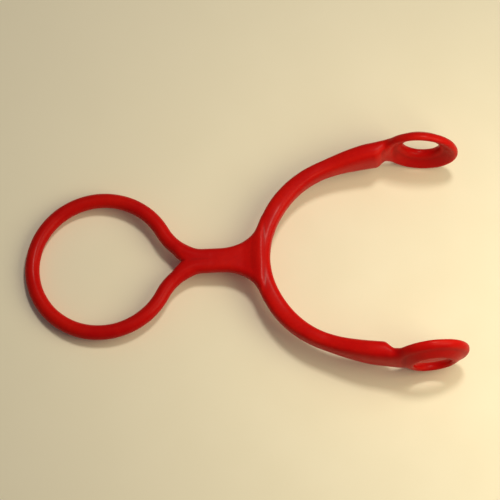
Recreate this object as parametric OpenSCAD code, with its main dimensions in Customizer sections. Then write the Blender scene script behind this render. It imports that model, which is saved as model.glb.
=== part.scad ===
// Frame grip: a finger ring of bent rod, a short neck and a U-shaped yoke
// whose two arms end in dished eyelets, all steel, dipped in red vinyl.
// X runs from the ring to the eyelets, Y across the yoke and Z up. The grip
// lies on a table at Z = 0, on the ring's far end and the two eyelet rims.

/* [Ring] */
// Radius of the finger ring, to the middle of its rod
ring_r = 24.6; // [22:0.1:28]
// Diameter of the steel rod
rod_d = 3.2; // [2.8:0.1:3.4]
// Radius of the bend that leads the rod from the ring into the neck
leg_r = 18.5; // [16:0.5:20]
// Gap between the rod's two tails, side by side in the neck
tail_gap = 0.2; // [0.1:0.1:0.4]

/* [Coating] */
// Thickness of the vinyl on the rod
coat_t = 1; // [0.8:0.1:1.2]
// Thickness of the vinyl on the steel eyelets
eyelet_coat_t = 0.85; // [0.6:0.05:1]

/* [Neck] */
// Height of the coated neck
neck_h = 4.8; // [4.6:0.1:5.2]
// Radius of the fillets between the neck and the yoke
flare_r = 16; // [12:1:18]
// Length of the weld bead between the rod's tails and the strap
neck_weld_l = 2.2; // [1.8:0.1:3]

/* [Yoke] */
// From the ring's centre to the middle of the strap at its root
yoke_x = 56.9; // [55:0.1:60]
// Radius of the yoke's bend, to the middle of the strap
yoke_r = 34.1; // [32:0.1:36]
// Turn of the yoke's bend on each side, in degrees
yoke_turn = 67; // [60:1:70]
// Radius of the long bow that each arm makes after the bend
arm_r = 76; // [60:1:100]
// Length of that bow
arm_l = 24.2; // [22:0.2:28]
// Inside elbow that turns the arm's tip inward: radius, then turn in degrees
elbow_r = 6; // [5:0.5:9]
elbow_turn = 10; // [6:1:16]
// Thickness of the steel strap, and what is left of it at its tips
strap_t = 3.6; // [3:0.1:4]
strap_tip_t = 2.4; // [2:0.1:3.6]

/* [Eyelets] */
// Outer radius of a coated eyelet
eyelet_r = 13.2; // [12.5:0.1:14]
// Radius of the coated hole
hole_r = 6.4; // [6:0.1:7]
// Wall of a coated eyelet
eyelet_t = 3.2; // [3:0.1:4]
// How far the hole stands outward of the rim
dish = 2.9; // [2:0.1:3.5]
// How far the eyelet sits outward of the arm's middle
eyelet_out = 2.8; // [2.4:0.1:3]
// Outward lean of the eyelet's top, in degrees
splay = 1.5; // [0:0.5:4]
// Chamfer on the eyelet's edges
eyelet_chamfer = 0.5; // [0.3:0.1:0.7]

/* [Hidden] */

STEEL = "silver";
WELD = "dimgray";
VINYL = "crimson";

rod_r = rod_d / 2;
coat_r = rod_r + coat_t;
tail_y = rod_r + tail_gap / 2;

// The ring's circle and each leg's circle touch, so the rod is one smooth S.
leg_cy = tail_y + leg_r;
leg_cx = sqrt(pow(ring_r + leg_r, 2) - pow(leg_cy, 2));
leg_angle = asin(leg_cy / (ring_r + leg_r));
strap_face_x = yoke_x - strap_t / 2;
tail_end_x = strap_face_x - neck_weld_l;

// Along half the rod from the ring's far end: the ring, its leg and its tail.
ring_l = ring_r * (180 - leg_angle) * PI / 180;
leg_l = leg_r * (90 - leg_angle) * PI / 180;
rod_l = ring_l + leg_l + tail_end_x - leg_cx;

// The two coated legs become one neck at collar_x, with a V between them that
// ends at crotch_x. Halfway along its bend, at collar_l, a leg is well past the
// collar. The neck is a hair larger than the legs, so that their faces cross.
collar_x = 25.6;
collar_l = ring_l + leg_l / 2;
collar_more = 0.1;
crotch_x = 28.4;
crotch_w = 4;
crotch_back = 1;
flare_trim = 1.2;
crotch_weld_h = 2.4;
crotch_weld_end = 34.6;
neck_weld_flare = 2;
neck_weld_deep = 1;

// Along one arm: where the bends end, and the path's length to the eyelet.
yoke_l = yoke_r * yoke_turn * PI / 180;
bow_turn = arm_l / arm_r * 180 / PI;
elbow_l = elbow_r * elbow_turn * PI / 180;
tip_l = yoke_l + arm_l + elbow_l;
tip_heading = 90 - yoke_turn - bow_turn - elbow_turn;

// Stations along an arm: its root, two in the bend, the blunt shoulder and the
// tip. At each, the width and height of the coated strap and of the bare one,
// and how far its middle moves outward. The sizes ease smoothly in between.
shoulder_l = 6;
arm_at = [0, yoke_l / 2, yoke_l, tip_l - shoulder_l, tip_l];
arm_out = [0, 0, 0, 0, 1.3];
coat_w = [5.7, 6.4, 5.5, 7, 4.7];
coat_h = [6.2, 6, 8, 13, 13];
strap_w = [strap_t, strap_t, strap_t, strap_t, strap_tip_t];
strap_h = [4.2, 4, 6, 11, 11];
step_l = 2.2;
rod_sides = 12;
strap_sides = 12;
coat_sides = 16;
weld_l = 2.4;
weld_more = 0.8;
coat_power = 3;
strap_power = 6;
neck_power = 3.5;

// The neck's flare touches the yoke's outer circle at flare_end.
neck_half_w = tail_y + coat_r;
yoke_cx = yoke_x + yoke_r;
yoke_outer_r = yoke_r + coat_w[0] / 2;
flare_y = neck_half_w + flare_r;
flare_x = yoke_cx - sqrt(pow(yoke_outer_r + flare_r, 2) - pow(flare_y, 2));
flare_end = yoke_cx - (yoke_cx - flare_x) * yoke_outer_r / (yoke_outer_r + flare_r);

// The eyelet's centre, ahead of the arm's tip, so that the arm cuts off a
// small piece of the rim. A steel eyelet's chamfer is smaller than the skin's.
eyelet_reach = 0.9 * eyelet_r;
steel_chamfer = 0.4 * eyelet_chamfer;

// The whole grip leans so that the ring's far end and the eyelets touch down.
tip_pose = arm_pose(tip_l);
eyelet_x = tip_pose.x + eyelet_reach * cos(tip_heading) - eyelet_out * sin(tip_heading);
rim_drop = eyelet_r * cos(splay) + (dish + eyelet_t) / 2 * sin(splay);
lean = asin((rim_drop - coat_r) / (ring_r + eyelet_x));
lift = coat_r + ring_r * sin(lean);
length_x = eyelet_x + eyelet_r + ring_r + coat_r;
middle_x = length_x / 2 - ring_r - coat_r;
big = 200;

function smooth(t) = t * t * (3 - 2 * t);

function ease(at, v, s, i = 0) =
    s <= at[i + 1] || i == len(at) - 2
    ? v[i] + (v[i + 1] - v[i]) * smooth(min(1, (s - at[i]) / (at[i + 1] - at[i])))
    : ease(at, v, s, i + 1);

// A pose is x, y and heading. This one is s further along a bend to the right.
function bend(pose, r, s) =
    let (turned = pose.z - s / r * 180 / PI)
    [pose.x + r * (sin(pose.z) - sin(turned)),
     pose.y + r * (cos(turned) - cos(pose.z)),
     turned];

function arm_pose(s) =
    let (root = [yoke_x, 0, 90],
         bow = bend(root, yoke_r, yoke_l),
         elbow = bend(bow, arm_r, arm_l))
    s <= yoke_l ? bend(root, yoke_r, s)
    : s <= yoke_l + arm_l ? bend(bow, arm_r, s - yoke_l)
    : bend(elbow, elbow_r, s - yoke_l - arm_l);

function rod_half_pose(s) =
    let (leg = bend([-ring_r, 0, 90], ring_r, ring_l),
         tail = bend(leg, -leg_r, leg_l))
    s <= ring_l ? bend([-ring_r, 0, 90], ring_r, s)
    : s <= ring_l + leg_l ? bend(leg, -leg_r, s - ring_l)
    : tail + [s - ring_l - leg_l, 0, 0];

// The same pose on the other side of the middle plane, for negative lengths.
function mirrored(p, s) = s < 0 ? [p.x, -p.y, 180 - p.z] : p;
function yoke_pose(s) = mirrored(arm_pose(abs(s)), s);
function rod_pose(s) = mirrored(rod_half_pose(abs(s)), s);

// A rounded oblong: power 2 is an ellipse, and higher powers are squarer.
function rounded(w, h, power, sides) =
    [for (i = [0 : sides - 1])
        let (a = 360 * i / sides, c = cos(a), s = sin(a))
        [sign(c) * pow(abs(c), 2 / power) * w / 2,
         sign(s) * pow(abs(s), 2 / power) * h / 2]];

// An outline stood up across a path, at a pose of it.
function across(p, outline) =
    [for (q = outline) [p.x - q.x * sin(p.z), p.y + q.x * cos(p.z), q.y]];

// The two ends of a stretch and even steps of about step_l between them.
function steps(s0, s1) =
    let (n = ceil((s1 - s0) / step_l))
    [for (i = [0 : n]) s0 + (s1 - s0) * i / n];

function rod_rings(s0, s1, r, sides) =
    [for (s = steps(s0, s1)) across(rod_pose(s), rounded(2 * r, 2 * r, 2, sides))];

function yoke_rings(s0, s1, widths, heights, power, sides) =
    [for (s = steps(s0, s1))
        let (outline = rounded(ease(arm_at, widths, abs(s)), ease(arm_at, heights, abs(s)),
                               power, sides),
             out = [ease(arm_at, arm_out, abs(s)), 0])
        across(yoke_pose(s), [for (q = outline) q + out])];

// Half the neck's width: the legs' bend, the straight, then the flare.
function neck_half(x) =
    x < leg_cx ? leg_cy - sqrt(pow(leg_r - coat_r, 2) - pow(x - leg_cx, 2))
    : x > flare_x ? flare_y - sqrt(pow(flare_r, 2) - pow(x - flare_x, 2))
    : neck_half_w;

function neck_height(x) =
    2 * coat_r + (neck_h - 2 * coat_r) * smooth(min(1, (x - collar_x) / (leg_cx - collar_x)));

// From the middle plane to the middle of a leg.
function leg_gap(x) = leg_cy - sqrt(pow(leg_r, 2) - pow(x - leg_cx, 2));

module as_it_lies()
    translate([-middle_x, 0, lift])
        rotate([0, -lean, 0])
            children();

// A solid whose skin runs through the rings in turn.
module loft(rings) {
    n = len(rings[0]);
    last = len(rings) - 1;
    polyhedron(
        points = [for (ring = rings) each ring],
        faces = concat(
            [[for (j = [0 : n - 1]) j]],
            [for (i = [0 : last - 1], j = [0 : n - 1])
                [i * n + j, (i + 1) * n + j, (i + 1) * n + (j + 1) % n, i * n + (j + 1) % n]],
            [[for (j = [n - 1 : -1 : 0]) last * n + j]]));
}

// The same, as a chain of convex links.
module links(rings)
    for (i = [0 : len(rings) - 2])
        hull()
            loft([rings[i], rings[i + 1]]);

module rod_shape(from = -rod_l, to = rod_l)
    loft(rod_rings(from, to, rod_r, rod_sides));

module strap_shape(from = -tip_l, to = tip_l)
    loft(yoke_rings(from, to, strap_w, strap_h, strap_power, strap_sides));

module yoke_shape()
    links(yoke_rings(-tip_l, tip_l, coat_w, coat_h, coat_power, coat_sides));

module eyelet_weld_shape(side)
    loft(yoke_rings(side > 0 ? tip_l - weld_l : -tip_l, side > 0 ? tip_l : weld_l - tip_l,
                    [for (w = strap_w) w + weld_more],
                    [for (h = strap_h) h + weld_more], strap_power, strap_sides));

module crotch_weld_shape()
    difference() {
        translate([0, 0, -crotch_weld_h / 2])
            linear_extrude(crotch_weld_h)
                polygon([[crotch_x + coat_t, -leg_gap(crotch_x + coat_t)],
                         [crotch_weld_end, -leg_gap(crotch_weld_end)],
                         [crotch_weld_end, leg_gap(crotch_weld_end)],
                         [crotch_x + coat_t, leg_gap(crotch_x + coat_t)]]);
        rod_shape(ring_l, rod_l);
        rod_shape(-rod_l, -ring_l);
    }

module neck_weld_shape() {
    near = tail_y + rod_r + weld_more;
    far = near + neck_weld_flare;
    height = rod_d + weld_more / 2;
    difference() {
        translate([0, 0, -height / 2])
            linear_extrude(height)
                polygon([[tail_end_x, -near], [strap_face_x + neck_weld_deep, -far],
                         [strap_face_x + neck_weld_deep, far], [tail_end_x, near]]);
        translate([yoke_cx, 0, -height])
            cylinder(r = yoke_r + strap_t / 2, h = 2 * height, $fn = 256);
    }
}

// The band of an eyelet: a slanted strip turned round the hole's axis.
module eyelet_band(inset) {
    r0 = hole_r + inset;
    r1 = eyelet_r - inset;
    half = eyelet_t / 2 - inset;
    c = inset > 0 ? steel_chamfer : eyelet_chamfer;
    slope = dish / (eyelet_r - hole_r);
    v0 = dish / 2 - inset * slope;
    v1 = -v0;
    rotate_extrude($fn = 96)
        polygon([[r0, v0 - half + c], [r0 + c, v0 - half], [r1 - c, v1 - half],
                 [r1, v1 - half + c], [r1, v1 + half - c], [r1 - c, v1 + half],
                 [r0 + c, v0 + half], [r0, v0 + half - c]]);
}

// Sets an eyelet at the left arm's tip, cut square where the arm ends.
module at_tip(side)
    mirror([0, side > 0 ? 0 : 1, 0])
        translate([tip_pose.x, tip_pose.y, 0])
            rotate([0, 0, tip_heading])
                intersection() {
                    translate([eyelet_reach, eyelet_out, 0])
                        rotate([-splay - 90, 0, 0])
                            children();
                    translate([0, -big / 2, -big / 2])
                        cube(big);
                }

module ring_rod()
    color(STEEL) as_it_lies() rod_shape();

module yoke_strap()
    color(STEEL) as_it_lies()
        strap_shape(weld_l - tip_l, tip_l - weld_l);

module eyelet_left()
    color(STEEL) as_it_lies() at_tip(1) eyelet_band(eyelet_coat_t);

module eyelet_right()
    color(STEEL) as_it_lies() at_tip(-1) eyelet_band(eyelet_coat_t);

module crotch_weld()
    color(WELD) as_it_lies() crotch_weld_shape();

module neck_weld()
    color(WELD) as_it_lies() neck_weld_shape();

module eyelet_weld_left()
    color(WELD) as_it_lies() eyelet_weld_shape(1);

module eyelet_weld_right()
    color(WELD) as_it_lies() eyelet_weld_shape(-1);

module ring_coating()
    color(VINYL) as_it_lies()
        rotate([0, 0, leg_angle])
            rotate_extrude(angle = 360 - 2 * leg_angle, $fn = 144)
                translate([ring_r, 0])
                    difference() {
                        circle(r = coat_r, $fn = 32);
                        circle(r = rod_r, $fn = 32);
                    }

// The coated legs up to the collar, then the neck and its flare as one loft.
module neck_shape() {
    difference() {
        union() {
            links(rod_rings(ring_l, collar_l, coat_r, coat_sides));
            links(rod_rings(-collar_l, -ring_l, coat_r, coat_sides));
        }
        translate([collar_x, -big / 2, -big / 2]) cube(big);
    }
    links([for (x = steps(collar_x, flare_end - flare_trim))
        across([x, 0, 0], rounded(2 * neck_half(x) + collar_more, neck_height(x) + collar_more,
                                  neck_power, coat_sides))]);
}

module neck_coating()
    color(VINYL) as_it_lies()
        difference() {
            neck_shape();
            translate([0, 0, -neck_h])
                linear_extrude(2 * neck_h)
                    polygon([[collar_x - crotch_back, -crotch_w], [crotch_x, 0],
                             [collar_x - crotch_back, crotch_w]]);
            yoke_shape();
            rod_shape();
            crotch_weld_shape();
            neck_weld_shape();
        }

module yoke_coating()
    color(VINYL) as_it_lies()
        difference() {
            yoke_shape();
            strap_shape();
            eyelet_weld_shape(1);
            eyelet_weld_shape(-1);
            neck_weld_shape();
        }

module eyelet_coating(side)
    color(VINYL) as_it_lies()
        at_tip(side)
            difference() {
                eyelet_band(0);
                eyelet_band(eyelet_coat_t);
            }

module eyelet_coating_left() eyelet_coating(1);

module eyelet_coating_right() eyelet_coating(-1);

ring_rod();
yoke_strap();
eyelet_left();
eyelet_right();
crotch_weld();
neck_weld();
eyelet_weld_left();
eyelet_weld_right();
ring_coating();
neck_coating();
yoke_coating();
eyelet_coating_left();
eyelet_coating_right();
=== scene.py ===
"""A red dip-coated grip: a finger ring, a short neck and a yoke with two dished eyelets.

The steel inside is the CAD's. The vinyl over it is one continuous skin, made here as the
zero level of a distance field with soft blends, so the neck, crotch and eyelets flow
into each other. The field is written flat, in millimetres; the grip then leans as it lies.
"""

from math import asin, cos, hypot, pi, radians, sin, sqrt, tan

import bpy
import numpy as np
from mathutils import Matrix, Vector


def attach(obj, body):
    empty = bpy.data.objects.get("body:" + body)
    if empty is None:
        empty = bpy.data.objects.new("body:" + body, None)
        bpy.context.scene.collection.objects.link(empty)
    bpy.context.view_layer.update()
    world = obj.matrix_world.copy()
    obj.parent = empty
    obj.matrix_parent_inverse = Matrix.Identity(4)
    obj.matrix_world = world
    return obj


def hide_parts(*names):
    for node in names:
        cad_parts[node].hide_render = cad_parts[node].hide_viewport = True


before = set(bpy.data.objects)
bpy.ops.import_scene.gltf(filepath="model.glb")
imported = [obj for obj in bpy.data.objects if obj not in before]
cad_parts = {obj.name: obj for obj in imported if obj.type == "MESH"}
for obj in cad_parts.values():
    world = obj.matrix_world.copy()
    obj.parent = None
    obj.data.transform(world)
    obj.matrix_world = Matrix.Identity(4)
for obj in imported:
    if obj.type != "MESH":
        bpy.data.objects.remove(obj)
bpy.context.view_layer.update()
MM = 0.001

# The grip's sizes, in millimetres and degrees, as in its CAD.
RING_R = 24.6
COAT_R = 2.6
TAIL_Y = 1.7
LEG_R = 18.5
NECK_H = 4.8
FLARE_R = 16
YOKE_X = 56.9
YOKE_R = 34.1
YOKE_TURN = radians(67)
ARM_R = 76
ARM_L = 24.2
ELBOW_R = 6
ELBOW_TURN = radians(10)
STRAP_W = [5.7, 6.4, 5.5, 7, 4.7]
STRAP_H = [6.2, 6, 8, 13, 13]
STRAP_OUT = [0, 0, 0, 0, 1.3]
EYELET_R = 13.2
HOLE_R = 6.4
EYELET_T = 3.2
DISH = 2.9
EYELET_OUT = 2.8
EYELET_REACH = 0.9 * EYELET_R
SPLAY = radians(1.5)
COLLAR_X = 25.6
CROTCH_X = 28.4
CROTCH_SLOPE = 0.95

# The length of the arm's shoulder, which is a little blunter than the CAD's.
SHOULDER_L = 4.5

# How softly one part of the skin runs into the next, and how round its edges are.
LEG_BLEND = 1.0
NECK_BLEND = 1.6
TIP_BLEND = 2.4
TIP_EDGE = 1.0
END_ROUND = 3.0
NECK_EDGE = 2.0
EYELET_EDGE = 1.4
# Over this length the legs sink into the flat neck, and the neck's edge hides in the legs.
SINK_L = 8
LEG_SINK = 0.6
NECK_INSET = 1.4
# The neck's outline follows the legs until this short of where their bend runs sideways.
LEG_STOP = 1
# The flare hides in the yoke by this much, and the neck rises to the yoke's height over this length.
FLARE_INSET = 0.5
RISE_L = 7
# How far the strap's skin runs past the arm's tip, and how square the strap's section is.
TIP_MORE = 1.0
STRAP_POWER = 3
# How much of the eyelet's dish is a step, and the flat share at each end of it.
DISH_STEP = 0.3
DISH_FLAT = 0.2
# The coating's unevenness: its depth, then three waves as their rates along X, Y and Z and a phase.
RIPPLE = 0.05
WAVES = [(0.55, 0.9, 0, 0.4), (0, 0.8, -0.7, 1.1), (0.33, -0.5, 1, 0)]
# The mesh: its cell, how far its grid reaches past the grip, and how its points settle.
CELL = 0.55
MARGIN = 1
SIDE_MARGIN = 5
SETTLING_STEPS = 3
LEAST_STEEPNESS = 0.2
TINY = 1e-6

LEG_CY = TAIL_Y + LEG_R
LEG_CX = sqrt((RING_R + LEG_R) ** 2 - LEG_CY**2)
LEG_ANGLE = asin(LEG_CY / (RING_R + LEG_R))
LEG_INNER_R = LEG_R - COAT_R
NECK_HALF = TAIL_Y + COAT_R
YOKE_CX = YOKE_X + YOKE_R
YOKE_OUTER = YOKE_R + STRAP_W[0] / 2
FLARE_Y = NECK_HALF + FLARE_R
FLARE_X = YOKE_CX - sqrt((YOKE_OUTER + FLARE_R) ** 2 - FLARE_Y**2)
FLARE_END = YOKE_CX - (YOKE_CX - FLARE_X) * YOKE_OUTER / (YOKE_OUTER + FLARE_R)


class Arc:
    """A bend from a pose (x, y, heading). It turns right, or left if the radius is negative."""

    def __init__(self, pose, radius, turn, start=0.0):
        self.x, self.y, self.heading = pose
        self.radius = radius
        self.side = 1 if radius > 0 else -1
        self.turn = turn
        self.start = start
        self.cx = self.x + radius * sin(self.heading)
        self.cy = self.y - radius * cos(self.heading)

    def end(self):
        """The pose at the end of the bend."""
        heading = self.heading - self.side * self.turn
        return (self.cx - self.radius * sin(heading), self.cy + self.radius * cos(heading), heading)

    def length(self):
        return abs(self.radius) * self.turn

    def place(self, x, y):
        """For each point: how far it is from the arc, how far along, and how far to the left."""
        heading = np.arctan2(-(x - self.cx) * self.side, (y - self.cy) * self.side)
        turned = (self.heading - heading) * self.side
        turned = (turned + pi) % (2 * pi) - pi
        turned = np.clip(turned, 0, self.turn)
        heading = self.heading - self.side * turned
        dx = x - (self.cx - self.radius * np.sin(heading))
        dy = y - (self.cy + self.radius * np.cos(heading))
        ahead = dx * np.cos(heading) + dy * np.sin(heading)
        left = dy * np.cos(heading) - dx * np.sin(heading)
        along = self.start + abs(self.radius) * turned + ahead
        return np.hypot(dx, dy), along, left


def path(pose, bends):
    """Bends joined end to end."""
    arcs = []
    start = 0.0
    for radius, turn in bends:
        arcs.append(Arc(pose, radius, turn, start))
        start += arcs[-1].length()
        pose = arcs[-1].end()
    return arcs


def nearest(arcs, x, y):
    """The place of each point on the arc that is nearest to it."""
    far, along, left = arcs[0].place(x, y)
    for arc in arcs[1:]:
        other = arc.place(x, y)
        closer = other[0] < far
        far = np.where(closer, other[0], far)
        along = np.where(closer, other[1], along)
        left = np.where(closer, other[2], left)
    return far, along, left


ROD = path((-RING_R, 0, pi / 2), [(RING_R, pi - LEG_ANGLE), (-LEG_R, pi / 2 - LEG_ANGLE)])
ARM = path((YOKE_X, 0, pi / 2), [(YOKE_R, YOKE_TURN), (ARM_R, ARM_L / ARM_R), (ELBOW_R, ELBOW_TURN)])
YOKE_L = ARM[0].length()
TIP_L = sum(arc.length() for arc in ARM)
TIP_X, TIP_Y, TIP_HEADING = ARM[-1].end()
ARM_AT = [0, YOKE_L / 2, YOKE_L, TIP_L - SHOULDER_L, TIP_L]

# How the grip lies: on the ring's far end and the rims of both eyelets.
EYELET_X = TIP_X + EYELET_REACH * cos(TIP_HEADING) - EYELET_OUT * sin(TIP_HEADING)
RIM_DROP = EYELET_R * cos(SPLAY) + (DISH + EYELET_T) / 2 * sin(SPLAY)
LEAN = asin((RIM_DROP - COAT_R) / (RING_R + EYELET_X))
LIFT = COAT_R + RING_R * sin(LEAN)
MIDDLE_X = (EYELET_X + EYELET_R + RING_R + COAT_R) / 2 - RING_R - COAT_R


def as_it_lies(points):
    """From the flat drawing in millimetres to the place on the table in metres."""
    x, y, z = points.T
    return MM * np.stack([x * cos(LEAN) - z * sin(LEAN) - MIDDLE_X, y,
                          x * sin(LEAN) + z * cos(LEAN) + LIFT], axis=1)


def smooth(t):
    """Eases from 0 to 1 as t does, and holds beyond."""
    t = np.clip(t, 0, 1)
    return t * t * (3 - 2 * t)


def ease(at, values, s):
    """A size along the arm: it eases smoothly from each station to the next."""
    size = np.full_like(s, float(values[0]))
    for a, b, change in zip(at, at[1:], np.diff(values)):
        size += change * smooth((s - a) / (b - a))
    return size


def join(a, b, soft):
    """The union of two shapes, with a fillet about as wide as soft."""
    h = np.clip(0.5 + 0.5 * (b - a) / soft, 0, 1)
    return b + (a - b) * h - soft * h * (1 - h)


def cut(a, b, soft):
    """What two shapes share, with its new edge rounded."""
    return -join(-a, -b, soft)


def rounded(over_u, over_v, edge):
    """What lies within two faces, with the edge between them rounded."""
    u = over_u + edge
    v = over_v + edge
    return np.hypot(np.maximum(u, 0), np.maximum(v, 0)) + np.minimum(np.maximum(u, v), 0) - edge


def rod_skin(x, y, z):
    """The coated ring and both of its legs."""
    far = nearest(ROD, x, y)[0]
    sink = LEG_SINK * smooth((x - LEG_CX) / SINK_L + 1)
    return np.hypot(far, z) - COAT_R + sink


def neck_skin(x, y, z):
    """The flat neck, from its V-shaped crotch to the flare that meets the yoke."""
    leg_dx = np.clip(LEG_CX - x, 0, LEG_INNER_R - LEG_STOP)
    flare_dx = np.clip(x - FLARE_X, 0, FLARE_END - FLARE_X)
    leg_rise = LEG_INNER_R - np.sqrt(LEG_INNER_R**2 - leg_dx**2)
    flare_rise = FLARE_R - np.sqrt(FLARE_R**2 - flare_dx**2)
    slope = leg_dx / LEG_INNER_R + flare_dx / FLARE_R
    inset = NECK_INSET * smooth((LEG_CX - x) / SINK_L)
    inset += FLARE_INSET * smooth(flare_dx / (FLARE_END - FLARE_X))
    side = (y - NECK_HALF - leg_rise - flare_rise + inset) * np.sqrt(1 - slope**2)
    crotch = (CROTCH_X - x - CROTCH_SLOPE * y) / hypot(1, CROTCH_SLOPE)
    plan = cut(cut(side, crotch, LEG_BLEND), COLLAR_X - x, LEG_BLEND)
    rise = (STRAP_H[0] - NECK_H) / 2 * smooth((x - FLARE_END) / RISE_L + 1)
    slab = rounded(plan, np.abs(z) - NECK_H / 2 - rise, NECK_EDGE)
    return cut(slab, x - FLARE_END, LEG_BLEND)


def strap_skin(x, y, z):
    """The yoke's strap: a rounded oblong section, rounded off at the arm's tip."""
    along, left = nearest(ARM, x, y)[1:]
    half_w = ease(ARM_AT, STRAP_W, along) / 2
    half_h = ease(ARM_AT, STRAP_H, along) / 2
    u = np.abs(left - ease(ARM_AT, STRAP_OUT, along)) / half_w
    v = np.abs(z) / half_h
    size = (u**STRAP_POWER + v**STRAP_POWER) ** (1 / STRAP_POWER) + TINY
    steep_u = (u / size) ** (STRAP_POWER - 1) / half_w
    steep_v = (v / size) ** (STRAP_POWER - 1) / half_h
    section = (size - 1) / np.maximum(np.hypot(steep_u, steep_v), TINY)
    return cut(section, along - TIP_L - TIP_MORE, END_ROUND)


def eyelet_skin(x, y, z):
    """The dished eyelet: a flat rim, a step, and a lip around the hole that stands outward."""
    dx = x - TIP_X
    dy = y - TIP_Y
    ahead = dx * cos(TIP_HEADING) + dy * sin(TIP_HEADING)
    across = dy * cos(TIP_HEADING) - dx * sin(TIP_HEADING) - EYELET_OUT
    axial = across * cos(SPLAY) - z * sin(SPLAY)
    height = across * sin(SPLAY) + z * cos(SPLAY)
    radial = np.hypot(ahead - EYELET_REACH, height)
    t = np.clip((radial - HOLE_R) / (EYELET_R - HOLE_R), 0, 1)
    stepped = smooth((t - DISH_FLAT) / (1 - 2 * DISH_FLAT))
    middle = DISH * (0.5 - t - DISH_STEP * (stepped - t))
    level = (EYELET_R - HOLE_R) / hypot(EYELET_R - HOLE_R, DISH)
    over_edges = np.abs(radial - (EYELET_R + HOLE_R) / 2) - (EYELET_R - HOLE_R) / 2
    over_faces = (np.abs(axial - middle) - EYELET_T / 2) * level
    return cut(rounded(over_edges, over_faces, EYELET_EDGE), -ahead, TIP_EDGE)


def ripple(x, y, z):
    """The slight unevenness of a dipped coating, from 0 to 1."""
    total = sum(np.sin(a * x + b * y + c * z + phase) for a, b, c, phase in WAVES)
    return 0.5 + 0.5 * total / len(WAVES)


def skin(points):
    """Signed distance from the skin: negative inside. Both halves of the grip are alike."""
    x, y, z = points.T
    side = np.abs(y)
    far = join(rod_skin(x, side, z), neck_skin(x, side, z), LEG_BLEND)
    far = join(far, strap_skin(x, side, z), NECK_BLEND)
    far = join(far, eyelet_skin(x, side, z), TIP_BLEND)
    return far + RIPPLE * ripple(x, y, z)


def slopes(points, reach=0.05):
    """The field's gradient at each point."""
    columns = []
    for axis in range(3):
        step = np.zeros(3)
        step[axis] = reach
        columns.append((skin(points + step) - skin(points - step)) / (2 * reach))
    return np.stack(columns, axis=1)


def surface_net(field, low, high, cell):
    """Quads around the zero level: one vertex in each grid cell that the surface crosses."""
    axes = [np.arange(a, b + cell, cell) for a, b in zip(low, high)]
    shape = tuple(len(axis) for axis in axes)
    corners = np.stack(np.meshgrid(*axes, indexing="ij"), axis=-1).reshape(-1, 3)
    value = field(corners).reshape(shape)
    crossings = []
    quads = []
    for axis in range(3):
        size = shape[axis]
        lo = np.take(value, range(size - 1), axis=axis)
        hi = np.take(value, range(1, size), axis=axis)
        edge = np.argwhere((lo < 0) != (hi < 0))
        a = lo[tuple(edge.T)]
        b = hi[tuple(edge.T)]
        spot = edge.astype(float)
        spot[:, axis] += a / (a - b)
        next_one, next_two = np.roll(np.eye(3, dtype=int), -axis - 1, axis=0)[:2]
        ring = [edge, edge - next_one, edge - next_one - next_two, edge - next_two]
        cells = np.stack([np.ravel_multi_index(tuple(c.T), shape) for c in ring], axis=1)
        crossings.append((cells, spot))
        quads.append(np.where((a < 0)[:, None], cells, cells[:, ::-1]))
    used, index = np.unique(np.concatenate(quads), return_inverse=True)
    total = np.zeros((len(used), 3))
    count = np.zeros(len(used))
    for cells, spot in crossings:
        where = np.searchsorted(used, cells)
        for corner in range(4):
            for axis in range(3):
                total[:, axis] += np.bincount(where[:, corner], spot[:, axis], len(used))
            count += np.bincount(where[:, corner], minlength=len(used))
    vertices = np.array(low) + cell * total / count[:, None]
    return vertices, index.reshape(-1, 4)


def onto_skin(points):
    """Moves points along the slope until they lie on the zero level."""
    for _ in range(SETTLING_STEPS):
        slope = slopes(points)
        steep = np.maximum((slope**2).sum(axis=1), LEAST_STEEPNESS)
        points = points - slope * (skin(points) / steep)[:, None]
    return points


def roundness(points, reach=0.7):
    """Positive on outer edges and negative in creases: how the field bends around a point."""
    middle = skin(points)
    total = np.zeros(len(points))
    for axis in range(3):
        step = np.zeros(3)
        step[axis] = reach
        total += skin(points + step) + skin(points - step) - 2 * middle
    return total / reach**2


def make_skin(material):
    """The vinyl over the whole grip, as one mesh."""
    half_width = TIP_Y + EYELET_T + SIDE_MARGIN
    half_height = EYELET_R + MARGIN
    low = [-RING_R - COAT_R - MARGIN, -half_width, -half_height]
    high = [EYELET_X + EYELET_R + MARGIN, half_width, half_height]
    points, quads = surface_net(skin, low, high, CELL)
    points = onto_skin(points)
    mesh = bpy.data.meshes.new("vinyl_skin")
    mesh.from_pydata(as_it_lies(points).tolist(), [], quads.tolist())
    mesh.shade_smooth()
    edge = mesh.attributes.new("edge", "FLOAT", "POINT")
    edge.data.foreach_set("value", np.clip(roundness(points), -1, 1).astype(np.float32))
    mesh.materials.append(material)
    piece = bpy.data.objects.new("vinyl_skin", mesh)
    bpy.context.collection.objects.link(piece)
    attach(piece, "root")
    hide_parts("ring_coating", "neck_coating", "yoke_coating",
                "eyelet_coating_left", "eyelet_coating_right")
    return piece


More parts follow.
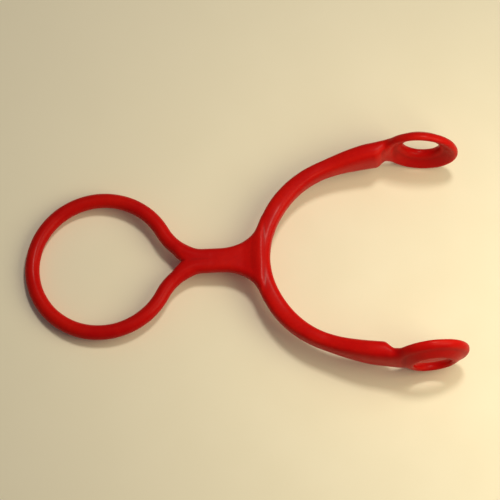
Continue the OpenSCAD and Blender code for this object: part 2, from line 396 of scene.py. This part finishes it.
class Nodes:
    """A material's node tree, with short calls to add and link nodes."""

    def __init__(self, name):
        self.material = bpy.data.materials.new(name)
        self.material.use_nodes = True
        self.tree = self.material.node_tree
        self.shader = self.tree.nodes["Principled BSDF"]
        place = self.add("ShaderNodeTexCoord")
        self.place = place.outputs["Object"]

    def add(self, kind, **settings):
        node = self.tree.nodes.new(kind)
        for key, value in settings.items():
            setattr(node, key, value)
        return node

    def link(self, source, target):
        """Joins two sockets."""
        self.tree.links.new(source, target)

    def noise(self, size, detail=3.0, stretch=(1, 1, 1)):
        """Noise with features about size metres across, longer along a stretched axis."""
        mapping = self.add("ShaderNodeMapping")
        mapping.inputs["Scale"].default_value = [1 / (size * s) for s in stretch]
        self.link(self.place, mapping.inputs["Vector"])
        noise = self.add("ShaderNodeTexNoise")
        noise.inputs["Scale"].default_value = 1.0
        noise.inputs["Detail"].default_value = detail
        self.link(mapping.outputs["Vector"], noise.inputs["Vector"])
        return noise.outputs["Fac"]

    def spread(self, value, low, high, to_low, to_high):
        """Maps a value from one range to another, and holds it at the ends."""
        node = self.add("ShaderNodeMapRange")
        for key, number in zip(("From Min", "From Max", "To Min", "To Max"),
                               (low, high, to_low, to_high)):
            node.inputs[key].default_value = number
        self.link(value, node.inputs["Value"])
        return node.outputs["Result"]

    def mix(self, share, first, second):
        """A colour between two, each either a colour or a socket."""
        node = self.add("ShaderNodeMix", data_type="RGBA")
        self.link(share, node.inputs["Factor"])
        for key, colour in (("A", first), ("B", second)):
            socket = [s for s in node.inputs if s.name == key and s.type == "RGBA"][0]
            if isinstance(colour, tuple):
                socket.default_value = (*colour, 1)
            else:
                self.link(colour, socket)
        return [s for s in node.outputs if s.type == "RGBA"][0]

    def math(self, operation, first, second):
        """Two values added, multiplied or the like."""
        node = self.add("ShaderNodeMath", operation=operation)
        self.link(first, node.inputs[0])
        self.link(second, node.inputs[1])
        return node.outputs["Value"]

    def bump(self, heights):
        """Stacks bumps, each a height socket and the depth in metres that it stands for."""
        normal = None
        for height, depth in heights:
            node = self.add("ShaderNodeBump")
            node.inputs["Distance"].default_value = depth
            self.link(height, node.inputs["Height"])
            if normal:
                self.link(normal, node.inputs["Normal"])
            normal = node.outputs["Normal"]
        self.link(normal, self.shader.inputs["Normal"])

    def finish(self, **constants):
        """Sets the shader's constants and hands over the material."""
        for key, value in constants.items():
            self.shader.inputs[key.replace("_", " ")].default_value = value
        return self.material


def vinyl():
    """Satin red dip coating: slow drifts of colour, orange peel, a painted highlight on outer edges, and
    painted shade in creases, which are also rougher.
    """
    red = (0.50, 0.003, 0.003)
    bright_red = (0.58, 0.006, 0.003)
    speck_red = (0.42, 0.003, 0.003)
    edge_highlight_red = (0.64, 0.016, 0.007)
    crease_shade_red = (0.30, 0.003, 0.002)
    n = Nodes("red_vinyl")
    edge = n.add("ShaderNodeAttribute", attribute_name="edge").outputs["Fac"]
    drift = n.spread(n.noise(0.016), 0.35, 0.65, 0, 1)
    colour = n.mix(drift, red, bright_red)
    specks = n.spread(n.noise(0.0011, detail=5), 0.4, 0.7, 0, 0.35)
    colour = n.mix(specks, colour, speck_red)
    # Painted highlight: where the skin rounds outward, the red is made lighter, in patches.
    edge_highlight = n.spread(edge, 0.25, 0.7, 0, 0.4)
    here_and_there = n.spread(n.noise(0.006), 0.4, 0.6, 0, 1)
    colour = n.mix(n.math("MULTIPLY", edge_highlight, here_and_there), colour, edge_highlight_red)
    # Painted shade: in creases the red is made darker; the same mask also makes them a little rougher
    # below.
    crease_shade = n.spread(edge, -0.05, -0.35, 0, 0.55)
    colour = n.mix(crease_shade, colour, crease_shade_red)
    n.link(colour, n.shader.inputs["Base Color"])
    patches = n.spread(n.noise(0.009), 0.3, 0.7, 0.3, 0.42)
    scuffs = n.spread(n.noise(0.0008, detail=4, stretch=(9, 1, 1)), 0.6, 0.7, 0, 0.14)
    dull_creases = n.spread(crease_shade, 0, 1, 0, 0.1)
    roughness = n.math("ADD", n.math("ADD", patches, scuffs), dull_creases)
    n.link(roughness, n.shader.inputs["Roughness"])
    sags = n.noise(0.009, detail=1)
    orange_peel = n.noise(0.0013, detail=2)
    n.bump([(sags, 0.0002), (orange_peel, 0.00003), (scuffs, 0.00002)])
    return n.finish(IOR=1.45, Specular_IOR_Level=0.06, Coat_Weight=0.05, Coat_Roughness=0.2)


def steel():
    """Bright drawn steel with fine lines along it."""
    grey = (0.5, 0.5, 0.49)
    bright_grey = (0.62, 0.61, 0.6)
    n = Nodes("drawn_steel")
    lines = n.noise(0.0003, detail=4, stretch=(24, 1, 1))
    colour = n.mix(n.spread(n.noise(0.01), 0.3, 0.7, 0, 1), grey, bright_grey)
    n.link(colour, n.shader.inputs["Base Color"])
    n.link(n.spread(lines, 0.3, 0.7, 0.28, 0.45), n.shader.inputs["Roughness"])
    n.bump([(lines, 0.00001)])
    return n.finish(Metallic=1.0)


def weld():
    """Darker bead metal, lumpy, with heat tint."""
    scale_grey = (0.24, 0.22, 0.2)
    straw = (0.4, 0.33, 0.24)
    n = Nodes("weld_bead")
    colour = n.mix(n.spread(n.noise(0.002), 0.35, 0.65, 0, 1), scale_grey, straw)
    n.link(colour, n.shader.inputs["Base Color"])
    n.link(n.spread(n.noise(0.001), 0.3, 0.7, 0.45, 0.65), n.shader.inputs["Roughness"])
    n.bump([(n.noise(0.0012, detail=2), 0.0001)])
    return n.finish(Metallic=1.0)


def table_top():
    """Plain cream laminate, a little uneven in tone."""
    cream = (0.87, 0.79, 0.60)
    light_cream = (0.88, 0.80, 0.61)
    n = Nodes("cream_table")
    colour = n.mix(n.spread(n.noise(0.03, detail=2), 0.3, 0.7, 0, 1), cream, light_cream)
    n.link(colour, n.shader.inputs["Base Color"])
    n.link(n.spread(n.noise(0.02), 0.3, 0.7, 0.5, 0.6), n.shader.inputs["Roughness"])
    n.bump([(n.noise(0.0015, detail=2), 0.00001)])
    return n.finish()


def dress_steel():
    """The steel inside keeps its CAD shape and gets real metal."""
    bare = steel()
    bead = weld()
    for name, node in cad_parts.items():
        if name.endswith("coating") or "_coating_" in name:
            continue
        node.data.materials.clear()
        node.data.materials.append(bead if "weld" in name else bare)


def make_table():
    """The flat top that the grip lies on."""
    half = 1.5
    corners = [(-half, -half, 0), (half, -half, 0), (half, half, 0), (-half, half, 0)]
    mesh = bpy.data.meshes.new("table")
    mesh.from_pydata(corners, [], [(0, 1, 2, 3)])
    mesh.materials.append(table_top())
    table = bpy.data.objects.new("table", mesh)
    bpy.context.collection.objects.link(table)


def add_light(name, azimuth, elevation, distance, size, power, colour):
    """A square soft light that looks at the grip. Its azimuth runs from +X towards +Y."""
    light = bpy.data.lights.new(name, "AREA")
    light.size = size
    light.energy = power
    light.color = colour
    lamp = bpy.data.objects.new(name, light)
    lamp.location = distance * Vector((cos(azimuth) * cos(elevation), sin(azimuth) * cos(elevation),
                                       sin(elevation)))
    lamp.rotation_euler = lamp.location.to_track_quat("Z", "Y").to_euler()
    bpy.context.collection.objects.link(lamp)


def light_scene():
    """A warm lamp at the right, a smaller light high on the far side, and a little fill."""
    warm = (1, 0.9, 0.62)
    soft_white = (1, 0.94, 0.82)
    cool = (0.93, 0.95, 1, 1)
    add_light("lamp", radians(-14), radians(48), 0.24, 0.2, 0.4, warm)
    add_light("overhead", radians(60), radians(70), 0.8, 0.12, 2.1, soft_white)
    world = bpy.data.worlds.new("room")
    world.use_nodes = True
    fill = world.node_tree.nodes["Background"]
    fill.inputs["Color"].default_value = cool
    fill.inputs["Strength"].default_value = 0.14
    bpy.context.scene.world = world


def add_camera():
    """Looks down steeply from the near side, rolled a little, with a long lens."""
    elevation = radians(70)
    roll = radians(1.25)
    field_of_view = radians(14)
    half_view = 88.25 * MM
    target = Vector((2.4, 4.6, 5)) * MM
    forward = Vector((0, cos(elevation), -sin(elevation)))
    level = Vector((1, 0, 0))
    upright = level.cross(forward)
    right = level * cos(roll) - upright * sin(roll)
    up = upright * cos(roll) + level * sin(roll)
    data = bpy.data.cameras.new("camera")
    data.angle = field_of_view
    camera = bpy.data.objects.new("camera", data)
    place = target - forward * (half_view / tan(field_of_view / 2))
    camera.matrix_world = Matrix.Translation(place) @ Matrix((right, up, -forward)).transposed().to_4x4()
    bpy.context.collection.objects.link(camera)
    bpy.context.scene.camera = camera


add_camera()
make_skin(vinyl())
dress_steel()
make_table()
light_scene()
bpy.context.scene.view_settings.view_transform = "Standard"
